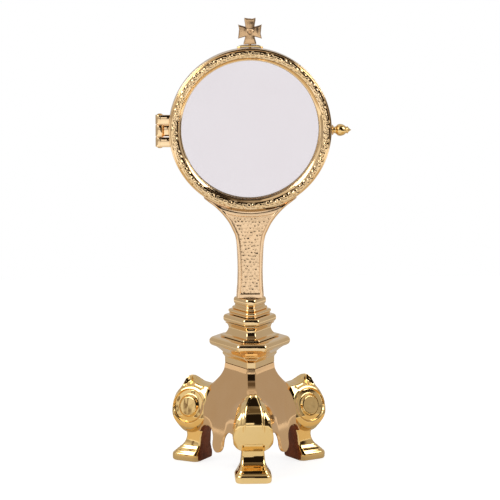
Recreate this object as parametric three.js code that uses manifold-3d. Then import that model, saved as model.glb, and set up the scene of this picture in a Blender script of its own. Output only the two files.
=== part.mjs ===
// A small table monstrance: a three-footed cast base, a moulded knop, a flat stem and a round glazed case
// whose front ring swings open on a side hinge and is held by an acorn-headed screw.
// Millimetres, +Z up, front towards -Y. The stem's axis is x = y = 0 while the pieces are made; at the end the
// whole group is moved so that its origin is the middle of the bottom of its box.

import * as THREE from "three";
import { mergeVertices } from "three/addons/utils/BufferGeometryUtils.js";
import Module from "manifold-3d";

const wasm = await Module();
wasm.setup();

// ---- Driving dimensions ----
const GAP = 0.3; // between pieces that touch

const TOP_Z = 270; // tip of the cross
const CASE_Z = 204; // centre of the round case
const CASE_R = 48.3; // outside of both rings
const CASE_HALF = 7.5; // half the case's depth
const SEAM = 0.15; // each ring stops this far from the middle plane
const SIGHT_R = 41.2; // visible glass
const GLASS_R = 43.2;
const REBATE_R = 43.6; // bore that the glass sits in
const LIP_INNER_Y = 4.5; // inner face of the lip that the glass rests on

const HINGE_X = -53.5;
const HINGE_Z = 203.4;
const KNUCKLE_R = 2.6;
const KNUCKLE_BORE_R = 1.4;
const PIN_R = 1.0;
const CENTRE_KNUCKLE = 6.9; // height of the case's knuckle
const LUG = 5.8; // height of each of the door's knuckles

const LATCH_Z = 203.4;
const SHANK_R = 1.25;

const COLLAR_TOP_Z = 103;
const NECK_Z = 62; // top of the three-sided base casting
const HEM_Z = 19.6; // lowest point of the casting behind each foot
const BASE_WALL = 2.2;
const ROD_R = 2.5;
const ROD_BORE_R = 2.9;

const FOOT_R = 49.2; // axis to the tip of each toe
const SCROLL_AT = { r: 37, z: 34.6 }; // centre of each foot's scroll
const SCROLL_DISCS = [
  { r: 12.2, width: 15 },
  { r: 10, width: 17.6 },
  { r: 5.8, width: 22.4 },
]; // the round of the scroll, the step on its side and the boss
const FOOT_SCREW_Z = 37;

const FEET = { front: -90, right: 30, left: 150 }; // azimuths in degrees

// ---- Materials ----
const finish = (color, roughness, metalness) =>
  new THREE.MeshStandardMaterial({ color, roughness, metalness });
const GOLD = finish(0xe9c27c, 0.18, 1);
const ENGRAVED_GOLD = finish(0xe0b870, 0.28, 1);
const CASTING = finish(0xb08d68, 0.22, 1);
const BRASS = finish(0xc39a4e, 0.35, 1);
const STEEL = finish(0x9a9a98, 0.35, 1);
const GLASS = new THREE.MeshStandardMaterial({
  color: 0xe4dee2,
  roughness: 0.05,
  metalness: 0,
  transparent: true,
  opacity: 0.35,
});

// ---- Solids ----

// A closed geometry as a solid that can be joined and cut, turned right side out if need be.
function solid(geometry) {
  const bare = geometry.clone();
  bare.deleteAttribute("normal");
  bare.deleteAttribute("uv");
  const merged = mergeVertices(bare, 1e-4);
  const triVerts = new Uint32Array(merged.index.array);
  const vertProperties = merged.getAttribute("position").array;
  const made = new wasm.Manifold(new wasm.Mesh({ numProp: 3, vertProperties, triVerts }));
  if (made.volume() >= 0) return made;
  const flipped = triVerts.map((_, i) => triVerts[i % 3 === 0 ? i : i % 3 === 1 ? i + 1 : i - 1]);
  return new wasm.Manifold(new wasm.Mesh({ numProp: 3, vertProperties, triVerts: flipped }));
}

const join = (first, ...others) => others.reduce((whole, part) => whole.add(part), first);
const cut = (first, ...others) => others.reduce((whole, part) => whole.subtract(part), first);

// A profile of [radius, height] points turned about the Z axis.
function turned(profile, segments = 48) {
  const points = profile.map(([r, z]) => new THREE.Vector2(r, z));
  return solid(new THREE.LatheGeometry(points, segments).rotateX(Math.PI / 2));
}

// A closed [radius, y] profile turned about the case's own axis, which runs along Y.
function turnedInCase(profile, segments = 64) {
  const points = [...profile, profile[0]].map(([r, y]) => new THREE.Vector2(r, y));
  return solid(new THREE.LatheGeometry(points, segments).translate(0, 0, CASE_Z));
}

// A rod of radius r between two points.
function rod(from, to, r, segments = 20) {
  const a = new THREE.Vector3(...from);
  const b = new THREE.Vector3(...to);
  const along = b.clone().sub(a);
  const turn = new THREE.Quaternion().setFromUnitVectors(
    new THREE.Vector3(0, 1, 0),
    along.clone().normalize(),
  );
  const geometry = new THREE.CylinderGeometry(r, r, along.length(), segments)
    .applyQuaternion(turn)
    .translate(...a.add(b).multiplyScalar(0.5).toArray());
  return solid(geometry);
}

// A box between two opposite corners.
function block([x0, y0, z0], [x1, y1, z1]) {
  const geometry = new THREE.BoxGeometry(x1 - x0, y1 - y0, z1 - z0);
  return solid(geometry.translate((x0 + x1) / 2, (y0 + y1) / 2, (z0 + z1) / 2));
}

// An outline in the XZ plane, filled between two depths along Y.
function slab(outline, y0, y1, curveSegments = 10) {
  const geometry = new THREE.ExtrudeGeometry(outline, { depth: y1 - y0, bevelEnabled: false, curveSegments });
  return solid(geometry.rotateX(Math.PI / 2).translate(0, y1, 0));
}

// A closed solid through a stack of outlines with equally many points, closed at each end by a point.
function loft(rings) {
  const middle = (ring) =>
    ring.reduce((sum, p) => sum.add(p), new THREE.Vector3()).divideScalar(ring.length);
  const sides = rings[0].length;
  const levels = [Array(sides).fill(middle(rings[0])), ...rings, Array(sides).fill(middle(rings.at(-1)))];
  const geometry = new THREE.LatheGeometry(levels.map((_, i) => new THREE.Vector2(1, i)), sides);
  const position = geometry.getAttribute("position");
  for (let side = 0; side <= sides; side++)
    levels.forEach((ring, level) => {
      position.setXYZ(side * levels.length + level, ...ring[side % sides].toArray());
    });
  return solid(geometry);
}

const radians = (degrees) => (degrees * Math.PI) / 180;

// The plan of the base and knop: a triangle whose corners, one over each foot, are cut off by facets.
// reach is the distance from the axis to a facet and facet is the facet's width.
function cutTriangle(z, reach, facet) {
  return Object.values(FEET).flatMap((azimuth) =>
    [-0.5, 0.5].map((side) => {
      const a = radians(azimuth);
      const across = side * facet;
      return new THREE.Vector3(
        reach * Math.cos(a) - across * Math.sin(a),
        reach * Math.sin(a) + across * Math.cos(a),
        z,
      );
    }),
  );
}

const moulding = (levels) => loft(levels.map((level) => cutTriangle(...level)));
const bore = (r, z0, z1) => rod([0, 0, z0], [0, 0, z1], r);

// Turns a solid that was made over the +X direction to stand over the given azimuth.
const atAzimuth = (made, azimuth) => made.rotate([0, 0, azimuth]);

// Turns a solid in the case about the case's own axis.
const roundCase = (made, degrees) =>
  made.translate([0, 0, -CASE_Z]).rotate([0, degrees, 0]).translate([0, 0, CASE_Z]);

// ---- Base ----

// Levels of the base casting's outside: [height, reach, facet].
const CASTING_LEVELS = [
  [10, 33, 16.6],
  [24, 32, 14.5],
  [35, 30, 12],
  [42, 28.4, 8.4],
  [47.6, 25.4, 5.6],
  [51.2, 21.6, 5],
  [54.8, 18.4, 5],
  [58.6, 16.4, 5],
  [NECK_Z, 15.9, 5],
];

// The casting's outside grown, or shrunk if grow is negative, by the same distance all round.
const castingBody = (grow) =>
  moulding(CASTING_LEVELS.map(([z, reach, facet]) => [z, reach + grow, facet + grow / Math.cos(Math.PI / 6)]));

// What is cut from one panel's hem: an arch beside each foot and a round-ended pendant between them.
function hemCutter() {
  const arch = { inner: 5.5, outer: 20, spring: 17.2, below: -5 };
  const archR = (arch.outer - arch.inner) / 2;
  const archMiddle = (arch.outer + arch.inner) / 2;
  const outline = new THREE.Shape();
  outline.moveTo(-arch.outer, arch.below);
  outline.lineTo(-arch.outer, arch.spring);
  outline.absarc(-archMiddle, arch.spring, archR, Math.PI, 0, true);
  outline.absarc(0, arch.spring - 1.2, arch.inner, Math.PI, 2 * Math.PI, false);
  outline.absarc(archMiddle, arch.spring, archR, Math.PI, 0, true);
  outline.lineTo(arch.outer, arch.below);
  return slab(outline, -50, -8).rotate([0, 0, 90]);
}

function baseShell() {
  const inside = moulding(
    CASTING_LEVELS.map(([z, reach, facet], i) => [
      i === CASTING_LEVELS.length - 1 ? NECK_Z - 3 : i === 0 ? z - 1 : z,
      reach - BASE_WALL,
      facet - BASE_WALL / Math.cos(Math.PI / 6),
    ]),
  );
  const panels = [60, 180, 300].map((turn) => atAzimuth(hemCutter(), FEET.front + turn));
  const corners = Object.values(FEET).map((azimuth) =>
    atAzimuth(block([20, -20, 0], [60, 20, HEM_Z]), azimuth),
  );
  const screwHoles = Object.values(FEET).map((azimuth) =>
    atAzimuth(rod([20, 0, FOOT_SCREW_Z], [40, 0, FOOT_SCREW_Z], 1.6), azimuth),
  );
  const hollow = cut(castingBody(0), inside, bore(ROD_BORE_R, 50, 70));
  return cut(hollow, ...panels, ...corners, ...screwHoles);
}

// The foot's side outline, out along +X: toe, ankle, the round of the scroll and the spur on top.
function footOutline() {
  const outline = new THREE.Shape();
  outline.moveTo(31, 0);
  outline.lineTo(FOOT_R - 0.8, 0);
  outline.lineTo(FOOT_R, 1);
  outline.lineTo(FOOT_R, 4.8);
  outline.lineTo(46.6, 6.6);
  outline.quadraticCurveTo(40.6, 10, 41, 17);
  outline.quadraticCurveTo(42.6, 19.6, 45.4, 22.6);
  outline.bezierCurveTo(51.6, 28.8, 51.7, 39.4, 43.5, 44.8);
  outline.quadraticCurveTo(42.2, 48, 40.6, 51.2);
  outline.quadraticCurveTo(39.2, 52.6, 35.1, 48.8);
  outline.quadraticCurveTo(33, 46.8, 22, 46.2);
  outline.lineTo(22, 24);
  outline.quadraticCurveTo(31, 20, 31, 12);
  return outline;
}

// One scroll foot over the +X direction, before it is turned to its corner.
function scrollFoot() {
  const { r, z } = SCROLL_AT;
  const across = (x0, x1, z0, z1, width) => block([x0, -width / 2, z0], [x1, width / 2, z1]);
  const discs = SCROLL_DISCS.map((disc) =>
    rod([r, -disc.width / 2, z], [r, disc.width / 2, z], disc.r, 32),
  );
  const web = slab(footOutline(), -6.4, 6.4, 8);
  const toe = across(30, FOOT_R, 0, 5, 20);
  const step = across(32, 46, 4.8, 8.4, 17);
  const screwHole = rod([24, 0, FOOT_SCREW_Z], [38.6, 0, FOOT_SCREW_Z], 1.5);
  return cut(join(web, toe, step, ...discs), screwHole);
}

function foot(azimuth) {
  return cut(atAzimuth(scrollFoot(), azimuth), castingBody(GAP));
}

function footScrew(azimuth) {
  const head = rod([24.8, 0, FOOT_SCREW_Z], [26.4, 0, FOOT_SCREW_Z], 2.4);
  const shank = rod([25.6, 0, FOOT_SCREW_Z], [37.6, 0, FOOT_SCREW_Z], 1.2);
  return atAzimuth(join(head, shank), azimuth);
}

// ---- Knop: mouldings threaded on the tie rod, from the base up ----
const KNOP = {
  neck_moulding: [
    [62.3, 15.9, 5],
    [66.9, 16.1, 5.5],
    [69.3, 16.1, 9],
    [71.2, 18.1, 12],
    [72.7, 20, 14],
  ],
  lower_plate: [
    [73, 20.6, 14.2],
    [74.4, 23, 16.5],
    [76.2, 23.5, 17],
    [77.8, 22.8, 16.4],
    [78.6, 21, 14.4],
  ],
  waist: [
    [78.9, 17.9, 9],
    [80.6, 15.3, 5.8],
    [82, 14.3, 5.2],
    [84, 13.4, 5],
    [86, 13.8, 6],
    [87.4, 14.6, 7],
  ],
  upper_plate: [
    [87.7, 15, 8],
    [88.6, 15.8, 8.6],
    [90.2, 16.1, 8.8],
    [91.6, 15.7, 8.4],
    [92.2, 15, 8],
  ],
  stem_collar: [
    [92.5, 12.6, 5.2],
    [94.8, 12.2, 5],
    [95.2, 9.8, 4.4],
    [98.2, 9.5, 4.6],
    [99.4, 10, 5.2],
    [101.6, 10, 5.2],
    [COLLAR_TOP_Z, 9.2, 5],
  ],
};

const knopPiece = (levels) => cut(moulding(levels), bore(ROD_BORE_R, 60, 110));

function tieRod() {
  return bore(ROD_R, 51, 116);
}

function tieWasher() {
  const [under, thick] = [NECK_Z - 3 - GAP, 1.2];
  return turned([
    [ROD_BORE_R, under - thick],
    [6, under - thick],
    [6, under],
    [ROD_BORE_R, under],
    [ROD_BORE_R, under - thick],
  ]);
}

function tieNut() {
  const top = NECK_Z - 3 - 2 * GAP - 1.2;
  const nut = solid(new THREE.CylinderGeometry(5, 5, 4, 6).rotateX(Math.PI / 2).translate(0, 0, top - 2));
  return cut(nut, bore(ROD_BORE_R, 50, 60));
}

// ---- Stem ----

// One side of the stem's front outline, from the collar up to the tip of the horn that hugs the case.
// inset moves it in towards the middle.
function stemOutline(inset, z0, z1) {
  const half = [
    [8.1, z0],
    [7.6, 111],
    [7.4, 119],
    [7.6, 127],
    [8.0, 134],
    [9.0, 140],
    [10.7, 145],
    [13.4, 149.6],
    [17.6, 155],
    [22.4, 159.6],
    [27.5, z1],
  ];
  const curve = (sign) => half.map(([x, z]) => new THREE.Vector2(sign * (x - inset), z));
  return new THREE.Shape([...curve(1), ...curve(-1).reverse()]);
}

// The depth of the stem seen from the side: even, then widening under the case.
function stemSide() {
  const outline = new THREE.Shape();
  outline.moveTo(-4.4, 100);
  outline.lineTo(4.4, 100);
  outline.lineTo(4.4, 138);
  outline.quadraticCurveTo(4.6, 148, 6, 156);
  outline.lineTo(6, 170);
  outline.lineTo(-6, 170);
  outline.lineTo(-6, 156);
  outline.quadraticCurveTo(-4.6, 148, -4.4, 138);
  return slab(outline, -40, 40).rotate([0, 0, 90]);
}

// A disc in the case's place, as deep as the stem and beyond.
const caseDisc = (r, y0, y1) => rod([0, y0, CASE_Z], [0, y1, CASE_Z], r, 96);

function stemBlade() {
  const blade = slab(stemOutline(0, COLLAR_TOP_Z + GAP, 163.2), -20, 20).intersect(stemSide());
  const panel = cut(slab(stemOutline(1.9, 106, 160), -20, 20), caseDisc(CASE_R + 4.6, -21, 21));
  const recess = 0.5;
  const front = panel.intersect(block([-30, -20, 100], [30, -4.4 + recess, 150]));
  const back = panel.intersect(block([-30, 4.4 - recess, 100], [30, 20, 150]));
  return cut(
    blade,
    front,
    back,
    caseDisc(CASE_R + GAP, -1, 20),
    caseDisc(CASE_R + 0.7, -20, SEAM),
    bore(ROD_BORE_R, 100, 117),
    ...STEM_SCREWS.map((turn) => roundCase(radialRod(53.6, CASE_R, 1.4), turn)),
  );
}

// ---- Case ----

// The ring's section, [radius, depth]: rebate for the glass, lip, bevel, domed face, narrow rim.
const ringSection = [
  [REBATE_R, SEAM],
  [REBATE_R, LIP_INNER_Y],
  [SIGHT_R, LIP_INNER_Y],
  [SIGHT_R, 5.1],
  [42.7, 6.2],
  [43.5, 7],
  [44.9, CASE_HALF],
  [46.2, 7.1],
  [47, 6],
  [47.3, 5.2],
  [CASE_R, 4.9],
  [CASE_R, SEAM],
];
const frontSection = ringSection.map(([r, y]) => [r, -y]);

// A rod along the case's radius that points straight down, at the depth of the stem screws.
const STEM_SCREW_Y = 2.6;
const STEM_SCREWS = [-10, 10]; // degrees either side of straight down
const radialRod = (outer, inner, r) =>
  rod([0, STEM_SCREW_Y, CASE_Z - outer], [0, STEM_SCREW_Y, CASE_Z - inner], r);

function stemScrew(turn) {
  const head = radialRod(45.2, 44.1, 1.7);
  const shank = radialRod(52.8, 44.6, 1.1);
  return roundCase(join(head, shank), turn);
}

// A hinge knuckle with its arm: side is -1 for an arm in front of the seam and 1 for one behind it.
function knuckle(z0, z1, side) {
  const [inner, outer] = [side * 0.25, side * KNUCKLE_R].sort((a, b) => a - b);
  const arm = block([HINGE_X, inner, z0], [-46.4, outer, z1]);
  return join(rod([HINGE_X, 0, z0], [HINGE_X, 0, z1], KNUCKLE_R, 28), arm);
}

const hingeBore = () => rod([HINGE_X, 0, HINGE_Z - 12], [HINGE_X, 0, HINGE_Z + 12], KNUCKLE_BORE_R);

// The tab that carries the latch screw's thread stands forward from the rear ring into the door's pocket.
const TAB = { x0: 44.4, x1: 46.4, y: -2, half: 2.8 };

function caseRing() {
  const half = CENTRE_KNUCKLE / 2;
  const ring = join(
    turnedInCase(ringSection),
    knuckle(HINGE_Z - half, HINGE_Z + half, 1),
    block([TAB.x0, TAB.y, LATCH_Z - TAB.half], [TAB.x1, 1, LATCH_Z + TAB.half]),
  );
  return cut(
    ring,
    hingeBore(),
    rod([43, 0, LATCH_Z], [50, 0, LATCH_Z], SHANK_R + GAP),
    rod([0, CROSS.y, CASE_Z + 46], [0, CROSS.y, CASE_Z + 50], CROSS.spigotR + GAP),
    ...STEM_SCREWS.map((turn) => roundCase(radialRod(49, 43, 1.4), turn)),
    ...STEM_SCREWS.map((turn) => roundCase(radialRod(45.5, 43, 1.9), turn)),
  );
}

function doorBezel() {
  const reach = CENTRE_KNUCKLE / 2 + GAP;
  const ring = join(
    turnedInCase(frontSection),
    knuckle(HINGE_Z + reach, HINGE_Z + reach + LUG, -1),
    knuckle(HINGE_Z - reach - LUG, HINGE_Z - reach, -1),
  );
  const pocketHalf = TAB.half + 0.4;
  const slotHalf = SHANK_R + 0.35;
  return cut(
    ring,
    hingeBore(),
    block([42, TAB.y - 0.4, LATCH_Z - pocketHalf], [TAB.x1 + 0.5, 0, LATCH_Z + pocketHalf]),
    block([43, -slotHalf, LATCH_Z - slotHalf], [50, 0, LATCH_Z + slotHalf]),
  );
}

const pane = (y0, y1) => caseDisc(GLASS_R, y0, y1);

// A plain ring in the case: [inner, outer] radius and [from, to] depth.
const hoop = ([r0, r1], [y0, y1]) =>
  turnedInCase([
    [r0, y0],
    [r1, y0],
    [r1, y1],
    [r0, y1],
  ]);

// The inner ring that keeps the rear pane in place, with a groove for the edge of what is shown.
function hostRing() {
  return turnedInCase([
    [40.9, -1.2],
    [GLASS_R - 0.2, -1.2],
    [GLASS_R - 0.2, 2.6],
    [40.9, 2.6],
    [40.9, 1.4],
    [42, 1.2],
    [42, 0.2],
    [40.9, 0],
  ]);
}

function hingePin() {
  const half = CENTRE_KNUCKLE / 2 + GAP + LUG;
  const head = (z0, z1) => rod([HINGE_X, 0, z0], [HINGE_X, 0, z1], 1.8);
  const [low, high] = [HINGE_Z - half, HINGE_Z + half];
  return join(
    rod([HINGE_X, 0, low - 1], [HINGE_X, 0, high + 1], PIN_R),
    head(low - GAP - 0.8, low - GAP),
    head(high + GAP, high + GAP + 0.8),
  );
}

// Turns an [axial, radius] profile about the latch's axis, which points out along +X.
function turnedOnLatch(profile) {
  const points = profile.map(([x, r]) => new THREE.Vector2(r, x));
  const geometry = new THREE.LatheGeometry(points, 28).rotateZ(-Math.PI / 2);
  return solid(geometry.translate(0, 0, LATCH_Z));
}

function latchWasher() {
  const inner = SHANK_R + GAP;
  return turnedOnLatch([
    [48.7, inner],
    [48.7, 3.1],
    [49.1, 3.1],
    [49.7, 2.5],
    [49.7, inner],
    [48.7, inner],
  ]);
}

function latchKnob() {
  return turnedOnLatch([
    [44.6, 0],
    [44.6, SHANK_R],
    [50, SHANK_R],
    [50, 1.9],
    [51, 2.3],
    [52.2, 3.3],
    [53.8, 3.55],
    [55.6, 3.1],
    [56.9, 2.1],
    [57.3, 1.9],
    [57.7, 2.2],
    [58.6, 1.3],
    [60.2, 0],
  ]);
}

// ---- Cross ----
const CROSS = { y: 1.7, z: 261.8, thick: 3, halfSpan: 7, down: 7.6, spigotR: 0.9 };

// One splayed arm that points up from the cross's middle, with a hollowed end between two points.
function crossArm(length, endHalf, neckHalf) {
  const outline = new THREE.Shape();
  outline.moveTo(-neckHalf, 0);
  outline.quadraticCurveTo(-neckHalf, length * 0.45, -endHalf, length);
  outline.quadraticCurveTo(0, length - 1.4, endHalf, length);
  outline.quadraticCurveTo(neckHalf, length * 0.45, neckHalf, 0);
  return outline;
}

function cross() {
  const arm = (length, endHalf, turn) =>
    slab(crossArm(length, endHalf, 2.2), -CROSS.thick / 2, CROSS.thick / 2, 6).rotate([0, turn, 0]);
  const plan = join(
    arm(TOP_Z - CROSS.z, 3.3, 0),
    arm(CROSS.halfSpan, 4.1, 90),
    arm(CROSS.halfSpan, 4.1, -90),
    arm(CROSS.down - 0.6, 3.8, 180),
    block([-3.8, -CROSS.thick / 2, -CROSS.down], [3.8, CROSS.thick / 2, 1.2 - CROSS.down]),
  ).translate([0, CROSS.y, CROSS.z]);
  return join(plan, rod([0, CROSS.y, CASE_Z + 46.4], [0, CROSS.y, CROSS.z], CROSS.spigotR));
}

// The little saddle under the cross, bent to the case's round.
function crossFoot() {
  const bent = cut(caseDisc(CASE_R + 2.2, CROSS.y - 3, CROSS.y + 3), caseDisc(CASE_R + GAP, -20, 20));
  const piece = bent.intersect(block([-7.6, -20, CASE_Z], [7.6, 20, CROSS.z - CROSS.down - GAP]));
  return cut(piece, rod([0, CROSS.y, CASE_Z + 46], [0, CROSS.y, CASE_Z + 52], CROSS.spigotR + GAP));
}

// ---- Assembly ----
const monstrance = new THREE.Group();

function add(name, made, material) {
  const mesh = made.getMesh();
  const geometry = new THREE.BufferGeometry();
  geometry.setAttribute("position", new THREE.BufferAttribute(mesh.vertProperties, 3));
  geometry.setIndex(new THREE.BufferAttribute(mesh.triVerts, 1));
  geometry.computeVertexNormals();
  const piece = new THREE.Mesh(geometry, material);
  piece.name = name;
  monstrance.add(piece);
}

add("base_shell", baseShell(), CASTING);
for (const [corner, azimuth] of Object.entries(FEET)) {
  add(`foot_${corner}`, foot(azimuth), GOLD);
  add(`foot_screw_${corner}`, footScrew(azimuth), STEEL);
}
for (const [name, levels] of Object.entries(KNOP)) add(name, knopPiece(levels), GOLD);
add("tie_rod", tieRod(), STEEL);
add("tie_washer", tieWasher(), STEEL);
add("tie_nut", tieNut(), STEEL);
add("stem_blade", stemBlade(), ENGRAVED_GOLD);
STEM_SCREWS.forEach((turn, i) => add(`stem_screw_${i + 1}`, stemScrew(turn), STEEL));
add("case_ring", caseRing(), ENGRAVED_GOLD);
add("rear_glass", pane(2.9, 4.2), GLASS);
add("host_ring", hostRing(), GOLD);
add("door_bezel", doorBezel(), ENGRAVED_GOLD);
add("front_glass", pane(-4.2, -2.9), GLASS);
add("glass_retainer", hoop([41.4, GLASS_R - 0.1], [-2.5, -1.7]), BRASS);
add("hinge_pin", hingePin(), BRASS);
add("latch_washer", latchWasher(), GOLD);
add("latch_knob", latchKnob(), GOLD);
add("cross_foot", crossFoot(), GOLD);
add("cross", cross(), GOLD);

const box = new THREE.Box3().setFromObject(monstrance);
const middle = box.getCenter(new THREE.Vector3());
monstrance.children.forEach((piece) => piece.position.set(-middle.x, -middle.y, -box.min.z));

export default monstrance;
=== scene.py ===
"""Finished looks of the small gilt monstrance, on the frame that the CAD fixes.

Everything is drawn in millimetres about the stem's axis (x right, y back, z up from the table) and
moved into the frame's metres when its mesh is made.
"""

import math

import bpy
import bmesh
import numpy as np
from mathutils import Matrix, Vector


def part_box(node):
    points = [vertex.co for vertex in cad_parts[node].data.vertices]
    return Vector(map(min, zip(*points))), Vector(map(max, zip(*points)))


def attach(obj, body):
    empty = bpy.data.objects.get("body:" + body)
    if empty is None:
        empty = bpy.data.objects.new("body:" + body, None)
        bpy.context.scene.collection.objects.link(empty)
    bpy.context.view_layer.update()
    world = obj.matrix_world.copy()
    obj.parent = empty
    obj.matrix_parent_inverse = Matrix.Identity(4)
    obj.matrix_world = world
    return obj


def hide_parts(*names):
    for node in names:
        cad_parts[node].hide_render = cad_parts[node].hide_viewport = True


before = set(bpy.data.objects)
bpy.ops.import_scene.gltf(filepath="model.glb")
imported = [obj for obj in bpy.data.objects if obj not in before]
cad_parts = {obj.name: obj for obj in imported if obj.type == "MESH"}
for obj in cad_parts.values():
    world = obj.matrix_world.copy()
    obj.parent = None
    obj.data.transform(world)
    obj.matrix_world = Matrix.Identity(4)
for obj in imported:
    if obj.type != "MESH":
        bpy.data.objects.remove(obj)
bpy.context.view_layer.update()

MM = 0.001
FEET = {"front": -90, "right": 30, "left": 150}  # azimuths in degrees


def centre_of(node):
    """The middle of a CAD node's box, in metres."""
    low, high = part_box(node)
    return (np.array(low) + np.array(high)) / 2


STEM_AT = centre_of("tie_rod") * [1, 1, 0]


def local(node):
    """A CAD node's box in millimetres about the stem's axis."""
    return [(np.array(corner) - STEM_AT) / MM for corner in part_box(node)]


CASE_Z = centre_of("front_glass")[2] / MM
CASE_R = local("host_ring")[1][0] + 5.3  # the case's rim stands this far out from the inner ring
GLASS_R = local("front_glass")[1][0]
HINGE = (local("hinge_pin")[0] + local("hinge_pin")[1]) / 2
LATCH_Z = centre_of("latch_knob")[2] / MM
CROSS_Y = (centre_of("cross") - STEM_AT)[1] / MM


# ---- Curves and fields ----


def directions(azimuth):
    """The level directions out along an azimuth in degrees, and across it."""
    out = np.array([math.cos(math.radians(azimuth)), math.sin(math.radians(azimuth))])
    return out, np.array([-out[1], out[0]])


def smoothstep(low, high, x):
    """0 below low, 1 above high and an even S between them. High may be the lower of the two."""
    t = np.clip((np.asarray(x, float) - low) / (high - low), 0, 1)
    return t * t * (3 - 2 * t)


def smooth_curve(points, x):
    """Values at x of a smooth curve through (x, value...) points, without overshoot."""
    points = np.array(sorted(map(tuple, points)), float)
    xs, ys = points[:, 0], points[:, 1:]
    slopes = np.diff(ys, axis=0) / np.diff(xs)[:, None]
    tangents = np.zeros_like(ys)
    tangents[0], tangents[-1] = slopes[0], slopes[-1]
    a, b = slopes[:-1], slopes[1:]
    same = a * b > 0
    tangents[1:-1] = np.where(same, 2 * a * b / np.where(same, a + b, 1), 0)
    x = np.clip(np.asarray(x, float), xs[0], xs[-1])
    i = np.clip(np.searchsorted(xs, x, side="right") - 1, 0, len(xs) - 2)
    h = (xs[i + 1] - xs[i])[..., None]
    t = ((x - xs[i])[..., None]) / h
    value = (
        (1 + 2 * t) * (1 - t) ** 2 * ys[i]
        + t * (1 - t) ** 2 * h * tangents[i]
        + t**2 * (3 - 2 * t) * ys[i + 1]
        + t**2 * (t - 1) * h * tangents[i + 1]
    )
    return value[..., 0] if ys.shape[1] == 1 else value


def rounded(points, radius, steps=4, closed=False):
    """A polyline whose corners are rounded by up to radius (one number, or one per point)."""
    points = [np.array(p, float) for p in points]
    count = len(points)
    radii = [radius] * count if np.isscalar(radius) else radius
    out = []
    for i, p in enumerate(points):
        if not closed and i in (0, count - 1):
            out.append(p)
            continue
        a, b = points[i - 1], points[(i + 1) % count]
        to_a, to_b = a - p, b - p
        reach_a, reach_b = np.linalg.norm(to_a), np.linalg.norm(to_b)
        cut = min(radii[i], 0.48 * reach_a, 0.48 * reach_b)
        start, end = p + to_a / reach_a * cut, p + to_b / reach_b * cut
        for t in np.linspace(0, 1, steps + 1):
            out.append((1 - t) ** 2 * start + 2 * t * (1 - t) * p + t**2 * end)
    return np.array(out)


def lattice_noise(x, y, seed, scale):
    """Smooth random values, about -1 to 1, over a plane whose features are scale across."""
    table = np.random.default_rng(seed).uniform(-1, 1, (64, 64))
    u, v = np.asarray(x, float) / scale, np.asarray(y, float) / scale
    i, j = np.floor(u).astype(int), np.floor(v).astype(int)
    fu, fv = smoothstep(0, 1, u - i), smoothstep(0, 1, v - j)
    i, i2, j, j2 = i % 64, (i + 1) % 64, j % 64, (j + 1) % 64
    low = table[i, j] * (1 - fu) + table[i2, j] * fu
    high = table[i, j2] * (1 - fu) + table[i2, j2] * fu
    return low * (1 - fv) + high * fv


# ---- Meshes ----


def grid_faces(rows, columns, wrap_rows=False):
    """Quads over a tube of rows x columns points that are numbered row by row, each row a closed ring."""
    last_row = rows if wrap_rows else rows - 1
    i, j = np.meshgrid(np.arange(last_row), np.arange(columns), indexing="ij")
    i2, j2 = (i + 1) % rows, (j + 1) % columns
    quads = [i * columns + j, i * columns + j2, i2 * columns + j2, i2 * columns + j]
    return np.stack(quads, -1).reshape(-1, 4).tolist()


def closed_loft(rings):
    """Points and faces of a solid through a stack of closed rings, with a flat cap at each end."""
    rings = np.asarray(rings, float)
    rows, columns = rings.shape[:2]
    first_cap = list(range(columns))[::-1]
    last_cap = [(rows - 1) * columns + j for j in range(columns)]
    return rings.reshape(-1, 3), [*grid_faces(rows, columns), first_cap, last_cap]


def merged(*shapes):
    """Several (points, faces) shapes as one."""
    points, faces, start = [], [], 0
    for shape_points, shape_faces in shapes:
        points.append(np.asarray(shape_points, float))
        faces += [[v + start for v in face] for face in shape_faces]
        start += len(shape_points)
    return np.concatenate(points), faces


def lathe(profile, axis_point, axis="z", segments=96):
    """A closed (radius, along) profile turned about an axis through axis_point."""
    profile = np.asarray(profile, float)
    angle = np.linspace(0, 2 * math.pi, segments, endpoint=False)
    r, along = profile[:, 0][:, None], profile[:, 1][:, None]
    a, b = r * np.cos(angle), r * np.sin(angle)
    along = np.broadcast_to(along, a.shape)
    order = {"z": (a, b, along), "y": (a, along, b), "x": (along, a, b)}[axis]
    points = np.stack(order, -1) + np.array(axis_point, float)
    return points.reshape(-1, 3), grid_faces(len(profile), segments, wrap_rows=True)


def turned_shape(shape, azimuth):
    """A shape made over +X, turned to stand over an azimuth in degrees."""
    points, faces = shape
    out, across = directions(azimuth)
    return np.asarray(points) @ np.array([[*out, 0], [*across, 0], [0, 0, 1]]), faces


def new_mesh(name, shape):
    """A mesh in metres from a shape in millimetres, with its coincident points joined."""
    points, faces = shape
    mesh = bpy.data.meshes.new(name)
    mesh.from_pydata((np.asarray(points) * MM + STEM_AT).tolist(), [], faces)
    made = bmesh.new()
    made.from_mesh(mesh)
    bmesh.ops.remove_doubles(made, verts=made.verts, dist=1e-7)
    bmesh.ops.recalc_face_normals(made, faces=made.faces)
    made.to_mesh(mesh)
    made.free()
    mesh.shade_smooth()
    return mesh


def piece(name, shape, node, body, material, slot, sharp=40):
    """A finished piece that stands for one CAD node and moves with its body. Edges that turn by more
    than sharp degrees stay hard."""
    mesh = new_mesh(name, shape)
    mesh.set_sharp_from_angle(angle=math.radians(sharp))
    made = bpy.data.objects.new(name, mesh)
    bpy.context.scene.collection.objects.link(made)
    mesh.materials.append(material)
    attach(made, body)
    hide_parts(node)
    return made


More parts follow.
